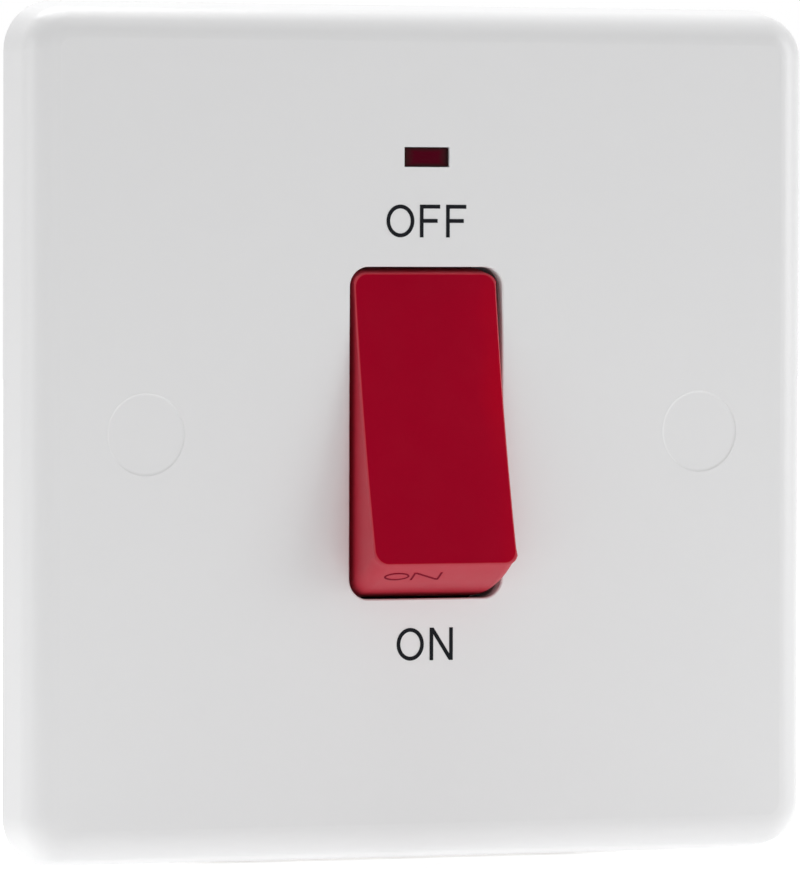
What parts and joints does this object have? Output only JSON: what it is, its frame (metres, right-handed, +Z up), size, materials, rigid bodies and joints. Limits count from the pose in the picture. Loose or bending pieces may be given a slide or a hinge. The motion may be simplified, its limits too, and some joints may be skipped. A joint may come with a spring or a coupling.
{
  "type": "cooker control switch",
  "caption": "Square wall plate with a tall red rocker that isolates both poles, a small neon window above it, flush screw caps and clamp terminals behind.",
  "frame": {"origin": "centre of the plane in which the plate's rear rim meets the wall", "axes": "+X right as seen from the front, +Y into the wall, +Z up; the front faces -Y"},
  "size_m": [0.086, 0.0342, 0.086],
  "materials": {
    "moulded_white": "glossy moulded urea, fine orange-peel",
    "rocker_red": "glossy red moulding",
    "base_moulding": "satin dark phenolic moulding",
    "cover_board": "pressed insulating board",
    "brass_block": "machined brass",
    "copper_strip": "half-hard copper strip",
    "silver_tip": "silver contact rivet",
    "plated_steel": "bright zinc-plated steel",
    "neon_red": "moulded translucent red lens",
    "lamp_glass": "clear lamp glass",
    "spring_steel": "spring wire",
    "resistor_body": "lacquered resistor body",
    "lead_wire": "tinned copper wire",
    "plunger_nylon": "natural nylon"
  },
  "bodies": {
    "housing": {"front_plate": "moulded_white", "switch_base": "base_moulding", "rear_cover": "cover_board", "body_screws": "plated_steel", "earth_terminal": "brass_block", "neon_lens": "neon_red", "neon_lamp": "lamp_glass", "neon_resistor": "resistor_body", "neon_lead_live": "lead_wire", "neon_lead_lamp": "lead_wire", "neon_lead_neutral": "lead_wire", "screw_cap_left": "moulded_white", "fixing_screw_left": "plated_steel", "screw_cap_right": "moulded_white", "fixing_screw_right": "plated_steel", "fixed_contact_live": "copper_strip", "fixed_tip_live": "silver_tip", "pivot_post_live": "copper_strip", "supply_live_terminal": "brass_block", "load_live_terminal": "brass_block", "fixed_contact_neutral": "copper_strip", "fixed_tip_neutral": "silver_tip", "pivot_post_neutral": "copper_strip", "supply_neutral_terminal": "brass_block", "load_neutral_terminal": "brass_block"},
    "rocker": {"rocker": "rocker_red", "plunger_spring_live": "spring_steel", "plunger_spring_neutral": "spring_steel"},
    "earth_screw": {"earth_screw": "plated_steel"},
    "plunger_live": {"plunger_live": "plunger_nylon"},
    "blade_live": {"moving_contact_live": "copper_strip", "moving_tip_live": "silver_tip"},
    "plunger_neutral": {"plunger_neutral": "plunger_nylon"},
    "blade_neutral": {"moving_contact_neutral": "copper_strip", "moving_tip_neutral": "silver_tip"},
    "supply_live_screw_inner": {"supply_live_screw_inner": "plated_steel"},
    "supply_live_screw_outer": {"supply_live_screw_outer": "plated_steel"},
    "load_live_screw_inner": {"load_live_screw_inner": "plated_steel"},
    "load_live_screw_outer": {"load_live_screw_outer": "plated_steel"},
    "supply_neutral_screw_inner": {"supply_neutral_screw_inner": "plated_steel"},
    "supply_neutral_screw_outer": {"supply_neutral_screw_outer": "plated_steel"},
    "load_neutral_screw_inner": {"load_neutral_screw_inner": "plated_steel"},
    "load_neutral_screw_outer": {"load_neutral_screw_outer": "plated_steel"}
  },
  "joints": [
    {"name": "rocker_tilt", "type": "hinge", "parent": "housing", "child": "rocker", "pos_m": [0, -0.00135, 0], "axis": [1, 0, 0], "range_deg": [0, 23]},
    {"name": "blade_rock_live", "type": "hinge", "parent": "housing", "child": "blade_live", "pos_m": [0, 0.0085, 0], "axis": [1, 0, 0], "range_deg": [-16, 0]},
    {"name": "plunger_slide_live", "type": "slide", "parent": "rocker", "child": "plunger_live", "axis": [0, 0.9799, -0.1994], "range_m": [-0.001, 0], "stiffness_N_per_m": 300, "springref_m": 0.003, "deforming": ["plunger_spring_live"]},
    {"name": "blade_rock_neutral", "type": "hinge", "parent": "housing", "child": "blade_neutral", "pos_m": [0, 0.0085, 0], "axis": [1, 0, 0], "range_deg": [-16, 0]},
    {"name": "plunger_slide_neutral", "type": "slide", "parent": "rocker", "child": "plunger_neutral", "axis": [0, 0.9799, -0.1994], "range_m": [-0.001, 0], "stiffness_N_per_m": 300, "springref_m": 0.003, "deforming": ["plunger_spring_neutral"]},
    {"name": "supply_live_screw_inner_travel", "type": "slide", "parent": "housing", "child": "supply_live_screw_inner", "axis": [0, -1, 0], "range_m": [0, 0.0042]},
    {"name": "supply_live_screw_outer_travel", "type": "slide", "parent": "housing", "child": "supply_live_screw_outer", "axis": [0, -1, 0], "range_m": [0, 0.0042]},
    {"name": "load_live_screw_inner_travel", "type": "slide", "parent": "housing", "child": "load_live_screw_inner", "axis": [0, -1, 0], "range_m": [0, 0.0042]},
    {"name": "load_live_screw_outer_travel", "type": "slide", "parent": "housing", "child": "load_live_screw_outer", "axis": [0, -1, 0], "range_m": [0, 0.0042]},
    {"name": "supply_neutral_screw_inner_travel", "type": "slide", "parent": "housing", "child": "supply_neutral_screw_inner", "axis": [0, -1, 0], "range_m": [0, 0.0042]},
    {"name": "supply_neutral_screw_outer_travel", "type": "slide", "parent": "housing", "child": "supply_neutral_screw_outer", "axis": [0, -1, 0], "range_m": [0, 0.0042]},
    {"name": "load_neutral_screw_inner_travel", "type": "slide", "parent": "housing", "child": "load_neutral_screw_inner", "axis": [0, -1, 0], "range_m": [0, 0.0042]},
    {"name": "load_neutral_screw_outer_travel", "type": "slide", "parent": "housing", "child": "load_neutral_screw_outer", "axis": [0, -1, 0], "range_m": [0, 0.0042]},
    {"name": "earth_screw_travel", "type": "slide", "parent": "housing", "child": "earth_screw", "axis": [0, -1, 0], "range_m": [0, 0.003]}
  ],
  "couplings": [
    {"joint": "blade_rock_live", "follows": "rocker_tilt", "ratio": -0.69565},
    {"joint": "blade_rock_neutral", "follows": "rocker_tilt", "ratio": -0.69565}
  ]
}
